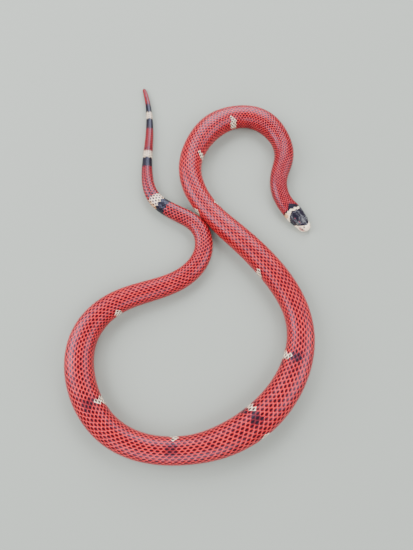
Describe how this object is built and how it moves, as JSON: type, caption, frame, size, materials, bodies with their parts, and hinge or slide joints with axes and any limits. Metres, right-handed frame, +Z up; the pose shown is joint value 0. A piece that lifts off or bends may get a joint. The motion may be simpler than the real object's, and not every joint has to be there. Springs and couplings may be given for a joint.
{
  "type": "milk snake",
  "caption": "Life-size still model of a red milk snake lying in loose coils on its belly, head and tail tip apart.",
  "frame": {"origin": "middle of the footprint, on the floor under the belly", "axes": "+Z up from the floor, +Y from the big front loop towards the tail tip and the small rear loop"},
  "size_m": [0.2315, 0.3931, 0.0249],
  "materials": {
    "red_scales": "smooth scaled skin, satin with a soft sky sheen",
    "head_scales": "smooth glossy head shields, black behind a pale snout",
    "ringed_tail_scales": "smooth scaled skin, red with black and cream rings",
    "eyes": "wet gloss under a clear spectacle"
  },
  "bodies": {
    "root": {"head": "head_scales", "eye_left": "eyes", "eye_right": "eyes", "neck": "red_scales", "torso_1": "red_scales", "torso_2": "red_scales", "torso_3": "red_scales", "torso_4": "red_scales", "torso_5": "red_scales", "torso_6": "red_scales", "torso_7": "red_scales", "torso_8": "red_scales", "torso_9": "red_scales", "torso_10": "red_scales", "torso_11": "red_scales", "torso_12": "red_scales", "torso_13": "red_scales", "tail_1": "ringed_tail_scales", "tail_2": "ringed_tail_scales", "tail_3": "red_scales"}
  },
  "joints": []
}
